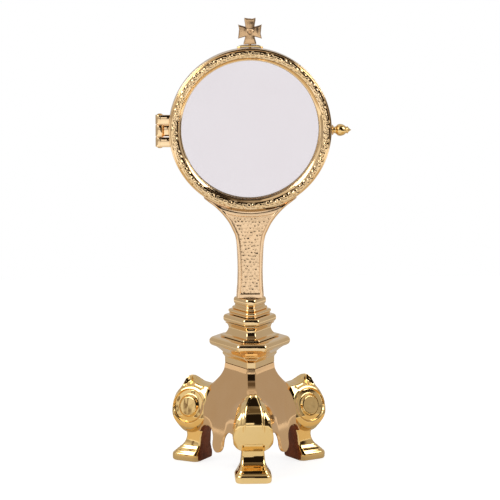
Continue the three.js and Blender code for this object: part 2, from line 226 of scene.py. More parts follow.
def fused(name, shapes):
    """Overlapping closed shapes joined into one solid shape."""
    scene = bpy.context.scene
    objects = []
    for i, shape in enumerate(shapes):
        made = bpy.data.objects.new(f"{name}_{i}", new_mesh(f"{name}_{i}", shape))
        scene.collection.objects.link(made)
        objects.append(made)
    base = objects[0]
    for other in objects[1:]:
        union = base.modifiers.new("union", "BOOLEAN")
        union.operation = "UNION"
        union.solver = "EXACT"
        union.object = other
    bpy.context.view_layer.update()
    mesh = bpy.data.meshes.new_from_object(base.evaluated_get(bpy.context.evaluated_depsgraph_get()))
    points = [(np.array(v.co) - STEM_AT) / MM for v in mesh.vertices]
    faces = [list(p.vertices) for p in mesh.polygons]
    for made in objects:
        old = made.data
        bpy.data.objects.remove(made)
        bpy.data.meshes.remove(old)
    bpy.data.meshes.remove(mesh)
    return points, faces


# ---- Materials ----


class Nodes:
    """A short way to wire up the nodes of a material or a world."""

    def __init__(self, owner, output="OutputMaterial"):
        owner.use_nodes = True
        self.owner = owner
        self.tree = owner.node_tree
        self.tree.nodes.clear()
        self.output = self.add(output)

    def add(self, kind, **settings):
        """A new shader node with some of its settings changed."""
        node = self.tree.nodes.new("ShaderNode" + kind)
        for key, value in settings.items():
            setattr(node, key, value)
        return node

    def link(self, source, target):
        self.tree.links.new(source, target)

    def finish(self, shader):
        """Uses a shader as the surface, and returns the material or world."""
        self.link(shader.outputs[0], self.output.inputs["Surface"])
        return self.owner

    def noise(self, scale, detail=3.0, roughness=0.5):
        node = self.add("TexNoise")
        node.inputs["Scale"].default_value = scale
        node.inputs["Detail"].default_value = detail
        node.inputs["Roughness"].default_value = roughness
        self.link(self.add("TexCoord").outputs["Object"], node.inputs["Vector"])
        return node.outputs["Fac"]

    def spread(self, value, low, high, to_low=0.0, to_high=1.0):
        """A value spread in proportion from one range to another."""
        node = self.add("MapRange")
        for key, number in zip(("From Min", "From Max", "To Min", "To Max"), (low, high, to_low, to_high)):
            node.inputs[key].default_value = number
        self.link(value, node.inputs["Value"])
        return node.outputs["Result"]

    def step(self, value, low, high):
        """0 to 1 as a value goes from low to high, smoothly."""
        node = self.add("MapRange", interpolation_type="SMOOTHSTEP")
        node.inputs["From Min"].default_value = low
        node.inputs["From Max"].default_value = high
        self.link(value, node.inputs["Value"])
        return node.outputs["Result"]

    def between(self, value, low, high, soft):
        """1 between two values, with soft edges."""
        above, below = self.step(value, low - soft, low + soft), self.step(value, high + soft, high - soft)
        return self.math("MULTIPLY", above, below)

    def math(self, operation, a, b=0.0):
        node = self.add("Math", operation=operation)
        for socket, value in zip(node.inputs, (a, b)):
            if isinstance(value, (int, float)):
                socket.default_value = value
            else:
                self.link(value, socket)
        return node.outputs[0]

    def split(self, vector):
        """The three parts of a vector."""
        node = self.add("SeparateXYZ")
        self.link(vector, node.inputs[0])
        return node.outputs

    def mix_colour(self, factor, a, b):
        node = self.add("Mix", data_type="RGBA")
        self.link(factor, node.inputs["Factor"])
        for socket, value in ((node.inputs["A"], a), (node.inputs["B"], b)):
            if isinstance(value, tuple):
                socket.default_value = (*value, 1)
            else:
                self.link(value, socket)
        return node.outputs["Result"]

    def bump(self, height, strength, distance):
        node = self.add("Bump")
        node.inputs["Strength"].default_value = strength
        node.inputs["Distance"].default_value = distance
        self.link(height, node.inputs["Height"])
        return node.outputs["Normal"]

    def pointed(self, low, high):
        """0 to 1 over a range of the geometry's pointiness, which is 0.5 where it's flat."""
        return self.spread(self.add("NewGeometry").outputs["Pointiness"], low, high)


def metal(name, colour, deep, roughness, rough_spread, bump, tarnish=0.35, painted_shade_strength=0.0):
    """Polished or brushed metal: a base colour that drifts towards a deeper one in cloudy patches, paler
    worn edges, painted shade darkening the hollows, fine scratches in the gloss and a faint cast unevenness."""
    n = Nodes(bpy.data.materials.new(name))
    shader = n.add("BsdfPrincipled")
    shader.inputs["Metallic"].default_value = 1.0
    clouds = n.spread(n.noise(60, 4, 0.6), 0.35, 0.7, 0, tarnish)
    base = n.mix_colour(clouds, colour, deep)
    worn = tuple(min(1.0, c * 1.06 + 0.02) for c in colour)
    edges = n.math("MULTIPLY", n.pointed(0.52, 0.6), 0.6)
    base = n.mix_colour(edges, base, worn)
    if painted_shade_strength:
        # painted shade: hollows, found by low pointiness, are darkened towards a deep brown
        painted_hollow_shade = n.math("MULTIPLY", n.pointed(0.49, 0.43), painted_shade_strength)
        base = n.mix_colour(painted_hollow_shade, base, tuple(c * 0.22 for c in deep))
    n.link(base, shader.inputs["Base Color"])
    fine = n.spread(n.noise(900, 5, 0.7), 0.3, 0.7, 0, rough_spread)
    smears = n.spread(n.noise(110, 3, 0.5), 0.4, 0.75, 0, rough_spread)
    rough = n.math("ADD", n.math("ADD", fine, smears), roughness)
    n.link(rough, shader.inputs["Roughness"])
    uneven = n.math("ADD", n.noise(170, 2, 0.5), n.math("MULTIPLY", n.noise(1400, 3, 0.6), 0.08))
    n.link(n.bump(uneven, bump, 0.0004), shader.inputs["Normal"])
    return n.finish(shader)


def coppery_brown_metal(name):
    """Coppery brown, grainy and dull: inside the base, and as painted shade on the feet's low inward faces.
    """
    n = Nodes(bpy.data.materials.new(name))
    shader = n.add("BsdfPrincipled")
    shader.inputs["Metallic"].default_value = 0.75
    patches = n.spread(n.noise(90, 6, 0.65), 0.35, 0.68)
    n.link(n.mix_colour(patches, (0.30, 0.075, 0.02), (0.13, 0.035, 0.012)), shader.inputs["Base Color"])
    n.link(n.spread(n.noise(500, 4, 0.7), 0.3, 0.7, 0.38, 0.6), shader.inputs["Roughness"])
    n.link(n.bump(n.noise(650, 5, 0.7), 0.5, 0.0003), shader.inputs["Normal"])
    return n.finish(shader)


def window_glass(name):
    """A thin clear pane: a faint warm-lilac tint, a weak mirror at grazing angles and slight smears."""
    n = Nodes(bpy.data.materials.new(name))
    tint = n.add("BsdfTransparent")
    smears = n.spread(n.noise(35, 3, 0.5), 0.3, 0.7)
    n.link(n.mix_colour(smears, (0.941, 0.927, 0.937), (0.945, 0.933, 0.943)), tint.inputs["Color"])
    gloss = n.add("BsdfGlossy")
    gloss.inputs["Color"].default_value = (1, 1, 1, 1)
    n.link(n.spread(n.noise(240, 3, 0.6), 0.3, 0.7, 0.02, 0.05), gloss.inputs["Roughness"])
    n.link(n.bump(n.noise(25, 1, 0.5), 0.02, 0.0002), gloss.inputs["Normal"])
    fresnel = n.add("Fresnel")
    fresnel.inputs["IOR"].default_value = 1.3
    mix = n.add("MixShader")
    n.link(fresnel.outputs[0], mix.inputs[0])
    n.link(tint.outputs[0], mix.inputs[1])
    n.link(gloss.outputs[0], mix.inputs[2])
    return n.finish(mix)


GOLD = (0.92, 0.66, 0.30)
DEEP_GOLD = (0.84, 0.55, 0.18)
PALE_GOLD = (0.93, 0.69, 0.42)
PINK_GOLD = (0.91, 0.61, 0.33)

polished = metal("gilt_polished", GOLD, DEEP_GOLD, 0.03, 0.04, 0.05)
# painted light: the knop's gilt is a paler, brighter copy of the polished gilt, for the lighter look of its
# plates
knop_gilt = metal("gilt_knop", (0.98, 0.73, 0.42), (0.92, 0.64, 0.28), 0.03, 0.04, 0.05)
cast_gilt = metal("gilt_casting", PINK_GOLD, (0.84, 0.52, 0.24), 0.04, 0.04, 0.03)
engraved = metal("gilt_engraved", PALE_GOLD, DEEP_GOLD, 0.04, 0.04, 0.05, 0.35, 0.9)
hammered = metal("gilt_hammered", (0.87, 0.63, 0.40), (0.84, 0.56, 0.32), 0.12, 0.08, 0.08, 0.3, 0.35)
brass = metal("plain_brass", (0.80, 0.52, 0.18), (0.62, 0.36, 0.10), 0.22, 0.12, 0.2, 0.6, 0.4)
steel = metal("dull_steel", (0.52, 0.51, 0.50), (0.36, 0.34, 0.32), 0.28, 0.15, 0.25, 0.6, 0.3)
cast_cross = metal("gilt_cast", (0.74, 0.50, 0.29), (0.48, 0.29, 0.14), 0.13, 0.1, 0.25, 0.6, 0.6)
# coppery brown for the base's inside, and painted shade for the feet's low inward faces
inside = coppery_brown_metal("coppery_inside_and_painted_shade")
glass = window_glass("clear_glass")


# ---- Three-sided mouldings ----


def corner_plan(reach, facet, fillet):
    """Outline of a triangle whose corners, one over each foot, are cut off by facets. reach is the
    distance from the axis to a facet. Always the same number of points, and rounded corners."""
    outline = []
    for azimuth in FEET.values():
        out, across = directions(azimuth)
        outline += [out * reach - across * facet / 2, out * reach + across * facet / 2]
    cut = min(fillet, 0.4 * facet)
    points = []
    for i, corner in enumerate(outline):
        before, after = outline[i - 1], outline[(i + 1) % len(outline)]
        start = corner + (before - corner) / np.linalg.norm(before - corner) * cut
        onwards = (after - corner) / np.linalg.norm(after - corner) * cut
        end, next_start = corner + onwards, after - onwards
        for t in np.linspace(0, 1, 6):
            points.append((1 - t) ** 2 * start + 2 * t * (1 - t) * corner + t**2 * end)
        between = 14 if i % 2 else 3  # points along a long side, or along a facet
        for t in np.linspace(0, 1, between + 2)[1:-1]:
            points.append(end * (1 - t) + next_start * t)
    return np.array(points)


def moulding(levels, arris=0.35, fillet=0.55):
    """A three-sided moulding through [z, reach, facet] levels, with softly rounded arrises and flat ends."""
    (low_z, low_reach, low_facet), (high_z, high_reach, high_facet) = levels[0], levels[-1]
    inner = 1.2  # how far in from the rim each flat end is closed
    full = [[low_z, low_reach - inner, low_facet], *levels, [high_z, high_reach - inner, high_facet]]
    rings = []
    for z, reach, facet in rounded(full, [0, 0.35] + [arris] * (len(levels) - 2) + [0.35, 0], 5):
        plan = corner_plan(reach, facet, fillet)
        rings.append(np.column_stack([plan, np.full(len(plan), z)]))
    return closed_loft(rings)


def bellied(profile, steps):
    """Levels along a smooth curve through [z, reach, facet] points, from the first to the last."""
    z = np.linspace(profile[0][0], profile[-1][0], steps)
    return np.column_stack([z, smooth_curve(profile, z)])


def heights(node):
    """The heights of a CAD node's foot and top, in millimetres."""
    low, high = local(node)
    return low[2], high[2]


def neck_moulding():
    """A plain collar, a narrow bead and a spreading cove under the large plate."""
    z0, z1 = heights("neck_moulding")
    collar = [[z0, 15.9, 5], [z0 + 3.6, 15.9, 5.1]]
    bead = bellied([[z0 + 4.4, 16.5, 5.4], [z0 + 5.6, 17.0, 7.2], [z0 + 6.6, 16.5, 8.6]], 7)
    cove = bellied([[z0 + 6.9, 16.2, 9.2], [z0 + 8.2, 17.2, 11.2], [z1, 20, 14]], 8)
    return moulding([*collar, *bead, *cove], arris=0.25)


def half_round(z0, z1, root, nose, root_facet, nose_facet, steps=18):
    """Levels of a half-round nose between two heights, standing out from its root to its nose."""
    angles = np.linspace(-math.pi / 2, math.pi / 2, steps)
    bulge = np.cos(angles) ** 0.9
    z = (z0 + z1) / 2 + (z1 - z0) / 2 * np.sin(angles)
    return np.column_stack([z, root + (nose - root) * bulge, root_facet + (nose_facet - root_facet) * bulge])


def lower_plate():
    return moulding(half_round(*heights("lower_plate"), 20.9, 23.7, 14.0, 17.2), fillet=1.7)


def waist():
    """A hollowed piece between two fillets."""
    z0, z1 = heights("waist")
    hollow = [[z0 + 1.3, 15.7, 6], [z0 + 3.1, 14.2, 5.2], [z0 + 5.2, 13.4, 5], [z1 - 1.2, 13.9, 6.2]]
    low_fillet = [[z0, 17.9, 9.6], [z0 + 0.9, 17.6, 9], [z0 + 1.0, 16.3, 7]]
    high_fillet = [[z1 - 0.6, 14.8, 7.4], [z1, 15, 7.8]]
    return moulding([*low_fillet, *bellied(hollow, 14), *high_fillet], arris=0.2)


def upper_plate():
    return moulding(half_round(*heights("upper_plate"), 14.5, 16.15, 7.6, 9.0), fillet=1.2)


def stem_collar():
    """Three rolls, the widest one lowest, under the stem."""
    z0, z1 = heights("stem_collar")
    levels = [
        [z0, 13.2, 5.6],
        [z0 + 0.7, 13.1, 5.5],
        *half_round(z0 + 0.9, z0 + 3.0, 12.6, 13.7, 5.1, 5.7, 10),
        *half_round(z0 + 3.2, z0 + 4.9, 10.2, 11.2, 4.8, 5.3, 10),
        *bellied([[z0 + 5.0, 9.9, 4.5], [z0 + 6.1, 9.5, 4.6]], 3),
        *half_round(z0 + 6.3, z1, 9.0, 10.2, 4.9, 5.4, 14),
    ]
    return moulding(levels, arris=0.25, fillet=1.7)


# ---- Base casting ----

CASTING = [  # height, distance from the axis to a corner's facet, the facet's width
    [10, 34.2, 16.9],
    [24, 32.3, 14.6],
    [35, 30, 12],
    [42, 28.4, 8.4],
    [47.6, 25.4, 5.6],
    [51.2, 21.6, 5],
    [54.8, 18.4, 5],
    [58.6, 16.4, 5],
    [62, 15.9, 5],
]
WALL = 2.2
HEM_LIP = 0.45  # the radius round the hem's edges
HEM_AT_FOOT = 19.6
ROOT_FLARE = {"depth": 2.8, "length": 18.0, "top_z": 48.0, "full_z": 34.0}


def casting_at(z):
    """At a height: the corners' reach and facet width, the panels' distance from the axis and length."""
    reach, facet = np.moveaxis(smooth_curve(CASTING, z), -1, 0)
    return reach, facet, reach * 0.5 + facet * math.sqrt(3) / 4, reach * math.sqrt(3) - facet / 2


def panel_hem():
    """Half of one panel's hem, from its middle outwards: (across, z) points and the directions into the
    metal there. A round-ended pendant, then a lopsided arch that ends against the foot."""
    inner, outer, spring, pendant_z = 5.4, 20.0, 17.4, 16.0
    arch_r, arch_at, shoulder = (outer - inner) / 2, (outer + inner) / 2, 4.6
    path = []
    for a in np.radians(np.linspace(-90, 0, 12)):
        path.append([inner * math.cos(a), pendant_z + inner * math.sin(a), -math.cos(a), -math.sin(a)])
    path.append([inner + 0.04, (pendant_z + spring) / 2, -1, 0])
    for a in np.radians(np.linspace(180, 90, 14)):
        path.append([arch_at + arch_r * math.cos(a), spring + arch_r * math.sin(a), math.cos(a), math.sin(a)])
    for a in np.radians(np.linspace(90, 12, 12)[1:]):
        into = np.array([math.cos(a) / arch_r, math.sin(a) / shoulder])
        into /= np.linalg.norm(into)
        z = spring + arch_r - shoulder * (1 - math.sin(a))
        path.append([arch_at + arch_r * math.cos(a), z, *into])
    path.append([outer + 0.9, HEM_AT_FOOT, 0, 1])
    return path


def root_flare(z, from_end):
    """How far a panel sweeps out over the root of the foot at its end."""
    top, full = ROOT_FLARE["top_z"], ROOT_FLARE["full_z"]
    down = np.clip((top - z) / (top - full), 1e-6, 1)
    near = np.clip(1 - from_end / (ROOT_FLARE["length"] * math.sqrt(down)), 0, 1) ** 1.3
    return ROOT_FLARE["depth"] * near * smoothstep(0, 0.6, down) * smoothstep(20, 31, z)


def shell_point(kind, azimuth, share, z, inset):
    """A point of the panel or corner facet over an azimuth, with share from -1 to 1 across it and inset
    the depth into the metal."""
    reach, facet, distance, length = casting_at(np.array(z))
    if kind == "panel":
        half = length / 2
        distance = distance + root_flare(z, (1 - abs(share)) * half)
    else:
        half = facet / 2
        distance = reach
    out, across = directions(azimuth)
    narrowed = half - inset * math.tan(math.radians(30))
    return [*(out * (distance - inset) + across * share * narrowed), z]


def shell_column(kind, azimuth, x, z, nx, nz, top_share):
    """A line over the casting's wall: down the outside, round the hem at (x, z), where (nx, nz) points
    into the metal, and up the inside. On a facet x is the share across it."""
    top_z = heights("base_shell")[1]

    def share_at(into):
        if kind == "facet":
            return x
        return (x + nx * into) / (casting_at(np.array(z + nz * into))[3] / 2)

    def wall(f, top, inset):
        share = share_at(HEM_LIP) + (top_share - share_at(HEM_LIP)) * smoothstep(0, 1, f)
        start_z = z + nz * HEM_LIP
        return shell_point(kind, azimuth, share, start_z + (top - start_z) * f, inset)

    turn = np.radians([0, 30, 60, 90])
    outer_lip = [(HEM_LIP * (1 - math.sin(a)), HEM_LIP * (1 - math.cos(a))) for a in turn]
    inner_lip = [(into, WALL - inset) for into, inset in outer_lip[::-1]]
    column = [wall(f, top_z, 0) for f in np.linspace(1, 0, 46)[:-1]]
    for into, inset in outer_lip + inner_lip:
        column.append(shell_point(kind, azimuth, share_at(into), z + nz * into, inset))
    return column + [wall(f, top_z - 3, WALL) for f in np.linspace(0, 1, 24)[1:]]


def base_shell():
    """The hollow casting as one closed sheet, panel and facet by turns."""
    half = panel_hem()
    hem = [[-x, z, -nx, nz] for x, z, nx, nz in half[:0:-1]] + half
    columns = []
    for azimuth in FEET.values():
        for at_hem, top_share in zip(hem, np.linspace(-0.93, 0.93, len(hem))):
            columns.append(shell_column("panel", azimuth + 60, *at_hem, top_share))
        for share in (-0.9, -0.6, -0.3, 0, 0.3, 0.6, 0.9):
            columns.append(shell_column("facet", azimuth + 120, share, HEM_AT_FOOT, 0, 1, share))
    return closed_loft(np.array(columns).transpose(1, 0, 2))


# ---- Feet ----

DISC = np.array([37.0, 34.6])  # the scroll's centre: distance from the axis and height
DISH = {"crest": 10.3, "foot": 9.2, "depth": 1.3}  # the sunk ring round the boss
BOSS = {"base": 6.9, "top": 5.1, "rise": 1.65}
BAND_CROWN = 0.3  # how far the band's middle stands out from its edges


def scroll_outline(theta):
    """Distance from the scroll's centre to the middle of its outer band, by angle (0 is outwards)."""
    marks = [[-180, 14.5], [-140, 14.6], [-110, 16.0], [-90, 17.0], [-77, 17.0], [-66, 15.9], [-55, 14.9]]
    marks += [[-46, 14.1], [-21, 12.8], [-4, 12.25], [10, 12.1], [30, 12.05], [45, 12.15], [57, 12.8]]
    marks += [[66, 14.5], [73.5, 16.5], [80, 17.3], [84, 17.1], [89, 16.1], [96, 14.7], [106, 13.8]]
    marks += [[120, 14.5], [135, 16.4], [150, 15.6], [180, 14.5]]
    return smooth_curve(marks, theta)


def band_half_width(theta):
    """Half the width of the scroll's outer band, by angle."""
    marks = [[-180, 8], [-110, 7.2], [-90, 6.8], [-70, 6.7], [-46, 6.6], [-20, 6.1], [3, 5.85], [33, 5.4]]
    marks += [[58, 4.5], [70, 3.2], [76, 2.1], [81, 1.5], [86, 2.2], [93, 3.6], [102, 4.5], [120, 5.1]]
    marks += [[150, 6], [180, 8]]
    return smooth_curve(marks, theta)


def rim_radius(theta):
    """The radius where the scroll's side rounds over to its band, by angle."""
    marks = [[-180, 12.9], [-150, 13.3], [-120, 13.4], [-90, 13.2], [-60, 12.6], [-40, 11.9], [-20, 11.1]]
    marks += [[0, 10.6], [50, 10.6], [90, 11.2], [120, 11.6], [150, 12.2], [180, 12.9]]
    return smooth_curve(marks, theta)


def flank(z):
    """Half the scroll's width over its rims, by height."""
    marks = [[14, 7.0], [17.2, 9.2], [20.6, 11.3], [24, 11.8], [27.6, 11.8], [32.5, 10.8], [37.2, 9.65]]
    marks += [[43, 7.9], [45.6, 6.7], [48.2, 5.1], [49.9, 3.0], [52, 1.5]]
    return smooth_curve(marks, z)


def side_half_width(radius, theta_deg):
    """Half the scroll's width at a point of its side: it leans out downwards, with a sunk ring round a
    low boss, and the casting is slightly uneven."""
    angle = np.radians(theta_deg)
    z = DISC[1] + radius * np.sin(angle)
    dish = -DISH["depth"] * smoothstep(DISH["crest"], DISH["foot"], radius)
    boss = BOSS["rise"] * smoothstep(BOSS["base"], BOSS["top"], radius)
    uneven = 0.07 * (lattice_noise(radius * np.cos(angle), z, 9, 3.2) - 0.5)
    return flank(z) + dish + boss + uneven


def scroll():
    """The round of the foot as one closed sheet between the middles of its two side bosses."""
    theta_deg = np.linspace(-180, 180, 321)[:-1]
    theta = np.radians(theta_deg)
    direction = np.column_stack([np.cos(theta), np.sin(theta)])
    rho0 = scroll_outline(theta_deg)
    band = band_half_width(theta_deg)
    rim = rim_radius(theta_deg)

    def ring(radius, half):
        flat = DISC + direction * np.broadcast_to(radius, theta.shape)[:, None]
        return np.column_stack([flat[:, 0], np.broadcast_to(half, theta.shape), flat[:, 1]])

    side_radii = [0.02, 1.5, 3, 4, 4.7, 5.1, 5.3, 5.6, 5.9, 6.2, 6.5, 6.8, 7.1, 7.7, 8.4, 9.0, 9.2, 9.45]
    side_radii += [9.7, 9.95, 10.2, 10.4]
    half_rings = [ring(radius, side_half_width(radius, theta_deg)) for radius in side_radii]
    for share in np.linspace(0, 1, 8)[1:]:
        radius = side_radii[-1] + (rim - side_radii[-1]) * share
        half_rings.append(ring(radius, side_half_width(radius, theta_deg)))
    rim_half = half_rings[-1][:, 1]
    hood = smoothstep(48, 66, theta_deg) * smoothstep(150, 110, theta_deg)
    pocket = smoothstep(60, 72, theta_deg) * smoothstep(92, 80, theta_deg)
    steepness = 1 + 1.2 * hood
    for share in (0.1, 0.22, 0.36, 0.5, 0.64, 0.78, 0.9):
        turned_out = (1 - hood) * (math.sin(share * math.pi / 2) - share) * 0.5
        radius = rim + (rho0 - 0.25 - rim) * (share + turned_out)
        half = band + 0.3 + (rim_half - band - 0.3) * ((1 - share) ** steepness + turned_out)
        half = half - 0.7 * pocket * math.sin(math.pi * min(1, share * 1.15)) ** 2
        half_rings.append(ring(radius, np.maximum(half, 0.7)))
    bead = smoothstep(-35, 5, theta_deg) * smoothstep(81, 76, theta_deg)
    half_rings.append(ring(rho0 - 0.05, band + 0.28))
    for rise, inset in ((0.3, -0.05), (0.42, 0.35), (0.3, 0.72), (0.02, 0.98)):
        half_rings.append(ring(rho0 + rise * bead, band - inset))
    recess = 2.3 * smoothstep(-86, -74, theta_deg) * smoothstep(-50, -57, theta_deg)
    half_rings.append(ring(rho0 - recess, (band - 1.2) * 0.98))
    for share in (0.72, 0.48, 0.24):
        half_rings.append(ring(rho0 - recess + BAND_CROWN * (1 - share**2), (band - 1.2) * share))
    middle = ring(rho0 - recess + BAND_CROWN, 0.0)
    other = [np.column_stack([r[:, 0], -r[:, 1], r[:, 2]]) for r in half_rings[::-1]]
    return closed_loft(half_rings + [middle] + other)


def rounded_block(r0, r1, half, corner, z):
    """A rounded rectangle at height z, as a ring of points."""
    ring = []
    centres = [(r1 - corner, half - corner, 0), (r0 + corner, half - corner, 90)]
    centres += [(r0 + corner, -half + corner, 180), (r1 - corner, -half + corner, 270)]
    for cx, cy, start in centres:
        for a in np.radians(np.linspace(start, start + 90, 6)):
            ring.append([cx + corner * math.cos(a), cy + corner * math.sin(a), z])
    return ring


def leg():
    """Toe, stepped instep and ankle: [z, inner, outer, half width, corner radius] sections."""
    toe = [[0.0, 31.2, 47.9, 9.6, 3.2], [0.3, 30.6, 48.7, 10.3, 3.6], [1.0, 30.2, 49.15, 10.7, 3.9]]
    toe += [[3.6, 30.2, 49.2, 10.8, 3.9], [4.3, 30.3, 49.05, 10.65, 3.8], [4.9, 30.4, 48.6, 10.3, 3.6]]
    toe += [[5.3, 30.4, 48.1, 9.95, 3.4]]
    instep = [[5.6, 30.4, 47.7, 9.7, 3.2], [6.1, 30.4, 47.4, 9.5, 3.0], [6.4, 30.4, 46.7, 9.1, 2.8]]
    instep += [[7.2, 30.4, 46.2, 8.8, 2.6], [7.5, 30.4, 45.5, 8.4, 2.4], [8.6, 30.4, 44.6, 8.0, 2.2]]
    instep += [[8.9, 30.4, 43.9, 7.7, 2.0], [10, 30.3, 42.8, 7.4, 1.8], [11.2, 30.2, 41.8, 7.2, 1.6]]
    ankle = [[12.6, 30.1, 41.0, 7.0, 1.5], [14, 30, 40.5, 6.9, 1.4], [15.4, 29.9, 40.25, 6.8, 1.4]]
    ankle += [[16.6, 29.8, 40.3, 6.7, 1.3], [17.8, 29.5, 40.7, 6.6, 1.3], [19, 29.2, 41.3, 6.5, 1.2]]
    ankle += [[20.2, 29, 42.1, 6.4, 1.2], [21.4, 28.7, 43.2, 6.4, 1.2], [24, 28.2, 43.6, 6.4, 1.2]]
    sections = toe + instep + ankle
    return closed_loft([rounded_block(r0, r1, half, corner, z) for z, r0, r1, half, corner in sections])


def arm():
    """The root of the foot, a ridge between the scroll and the body that is buried in both."""
    sections = [[22, 5.2, 24, 46.0], [26, 5.2, 23, 46.2], [30, 5.1, 23, 46.9], [33, 4.7, 23, 47.5]]
    sections += [[35, 4.0, 25, 47.3]]
    a = np.linspace(0, 2 * math.pi, 40, endpoint=False)
    across = np.sign(np.cos(a)) * np.abs(np.cos(a)) ** 0.55
    upward = np.sign(np.sin(a)) * np.abs(np.sin(a)) ** 0.4
    rings = []
    for r, half, z0, z1 in sections:
        z = (z0 + z1) / 2 + (z1 - z0) / 2 * upward
        rings.append(np.column_stack([np.full(len(a), r), half * across, z]))
    return closed_loft(rings)


# ---- Stem ----

STEM_HALF_WIDTH = [[103, 8.15], [107, 7.95], [112, 7.6], [120, 7.4], [128, 7.6], [135, 8.0], [140.4, 8.9]]
STEM_HALF_WIDTH += [[144.4, 10.6], [147.9, 12.3], [151.5, 14.7], [155.1, 17.7], [158.7, 21.5], [161, 24.7]]
STEM_HALF_WIDTH += [[163.2, 27.5]]
STEM_SEAT_R = 48.75  # the radius of the seat that the case rests in
STEM_BORDER = 1.85
PANEL_FOOT_Z = 105.4


def stem_depth(z):
    """Half the stem's thickness: even, wider under the case, then thin at the horns' tips."""
    marks = [[100, 4.4], [138, 4.4], [148, 4.9], [155, 5.7], [158, 5.5], [161.5, 4.6], [170, 4.2]]
    return smooth_curve(marks, z)


def hammer_marks(x, z, side):
    """Small punched hollows, each a short curved dent, scattered evenly over a panel."""
    rng = np.random.default_rng(11 + side)
    depth = np.zeros_like(x)
    spacing = 2.05
    for row, cz in enumerate(np.arange(106.5, 160, spacing)):
        for cx in np.arange(-24, 24, spacing) + (row % 2) * spacing / 2:
            mx, mz = cx + rng.uniform(-0.55, 0.55), cz + rng.uniform(-0.55, 0.55)
            turn, size = rng.uniform(-0.8, 0.8), rng.uniform(0.42, 0.64)
            strength = rng.uniform(0.35, 1.1)
            near = (np.abs(x - mx) < 2) & (np.abs(z - mz) < 2)
            if not near.any():
                continue
            u = (x[near] - mx) * math.cos(turn) + (z[near] - mz) * math.sin(turn)
            v = (z[near] - mz) * math.cos(turn) - (x[near] - mx) * math.sin(turn)
            bent = v - 0.45 * u * u
            wide = np.where(bent > 0, 0.36, 0.95) * size
            depth[near] += strength * np.exp(-((u / (1.35 * size)) ** 2) - (bent / wide) ** 2)
    return np.minimum(depth, 1.2)


def stem_relief(x, z, edge, seat_gap, side):
    """Height of the stem's face over its flat: a rounded border with a fine line along it, a sunk
    hammered panel, and a fine moulding under the case. edge and seat_gap are the distances from the
    stem's side and from its seat."""

    def within(inset, soft, foot, seat, seat_soft):
        """1 inside the panel, in by some distance from its side, foot and seat ends."""
        aside = smoothstep(STEM_BORDER + inset, STEM_BORDER + inset + soft, edge)
        upright = smoothstep(PANEL_FOOT_Z + foot, PANEL_FOOT_Z + foot + 0.5, z)
        return aside * upright * smoothstep(seat, seat + seat_soft, seat_gap)

    height = -0.9 * (1 - np.sqrt(1 - (1 - np.clip(edge, 0, 1)) ** 2))
    height += 0.16 * np.exp(-(((edge - STEM_BORDER * 0.62) / 0.5) ** 2))
    height -= 0.5 * within(0, 0.35, 0, 2.7, 0.4)
    depth = 0.17 + 0.2 * smoothstep(138, 150, z)
    dents = depth * hammer_marks(x, z, side) - 0.05 * lattice_noise(x, z, 5 + side, 0.9)
    height -= within(0.2, 0.6, 0.4, 3.2, 0.6) * dents
    height += 0.2 * np.exp(-(((seat_gap - 1.3) / 0.3) ** 2)) * smoothstep(0.5, 1.6, edge)
    return height


def stem_blade():
    """The flat stem, each column of points running from the collar up to the seat under the case."""
    rows, columns = 230, 110
    z0 = heights("stem_blade")[0]
    u = np.sin(np.linspace(-math.pi / 2, math.pi / 2, columns)) * 0.35 + np.linspace(-1, 1, columns) * 0.65
    low, high = np.full(columns, 120.0), np.full(columns, 168.0)
    for _ in range(50):  # closes in on the height where each column meets the seat
        middle = (low + high) / 2
        x = u * smooth_curve(STEM_HALF_WIDTH, middle)
        over = middle > CASE_Z - np.sqrt(STEM_SEAT_R**2 - x**2)
        high = np.where(over, middle, high)
        low = np.where(over, low, middle)
    z_top = (low + high) / 2
    v = np.linspace(0, 1, rows)[:, None]
    z = z0 + (z_top - z0) * v
    half = smooth_curve(STEM_HALF_WIDTH, z)
    x = u * half
    seat_gap = np.hypot(x, z - CASE_Z) - STEM_SEAT_R
    levels = np.linspace(100, 170, 141)
    lean = np.interp(z, levels, np.gradient(smooth_curve(STEM_HALF_WIDTH, levels), levels))
    edge = (half - np.abs(x)) / np.sqrt(1 + lean**2)
    front = -(stem_depth(z) + stem_relief(x, z, edge, seat_gap, 0))
    back = stem_depth(z) + stem_relief(-x, z, edge, seat_gap, 1)
    faces = [np.stack([x, front, z], -1), np.stack([x, back, z], -1)[:, ::-1]]
    return closed_loft(np.concatenate(faces, axis=1))


# ---- Case ----

MOTIFS = 50  # chased scrolls round the ring
RELIEF = 0.22  # how deep they are cut
DOME = {"middle": 45.05, "half": 2.1, "height": 7.45, "drop": 0.62}


def stroke(distance, width):
    """A cut line's section: 1 in its middle and 0 beyond about twice its width."""
    return np.exp(-((distance / width) ** 2))


def scroll_relief(phi, r):
    """Chased leaf scrolls on the ring's dome, at angle phi (radians) and radius r (mm): a waving vine with a
    curled leaf on each side, cut down into the metal. 0 to about 1."""
    pitch = 2 * math.pi * DOME["middle"] / MOTIFS
    turn = phi * MOTIFS / (2 * math.pi)
    cell = np.floor(turn)
    wander = 0.25 * np.sin(cell * 2.4)
    u = (turn - cell - 0.5) * pitch
    w = (r - DOME["middle"]) * np.where(cell % 2 == 0, 1.0, -1.0)
    vine = 0.9 * np.sin(math.pi * u / pitch)
    cut = stroke(w - vine, 0.24) * smoothstep(2.8, 2.0, np.abs(u))
    curl_u, curl_w = u - 0.7 - wander, w + 0.45
    around = np.arctan2(curl_w, curl_u)
    cut += stroke(np.hypot(curl_u, curl_w) - 1.25, 0.26) * smoothstep(-2.7, -1.4, around)
    cut += 0.9 * stroke(np.hypot(curl_u, curl_w), 0.34)
    leaf_u, leaf_w = u + 1.7, w - 0.6
    cut += 0.9 * stroke(np.hypot(leaf_u * 0.8, leaf_w) - 0.8, 0.22) * smoothstep(-0.9, 0.1, leaf_w)
    return np.minimum(cut, 1.05)


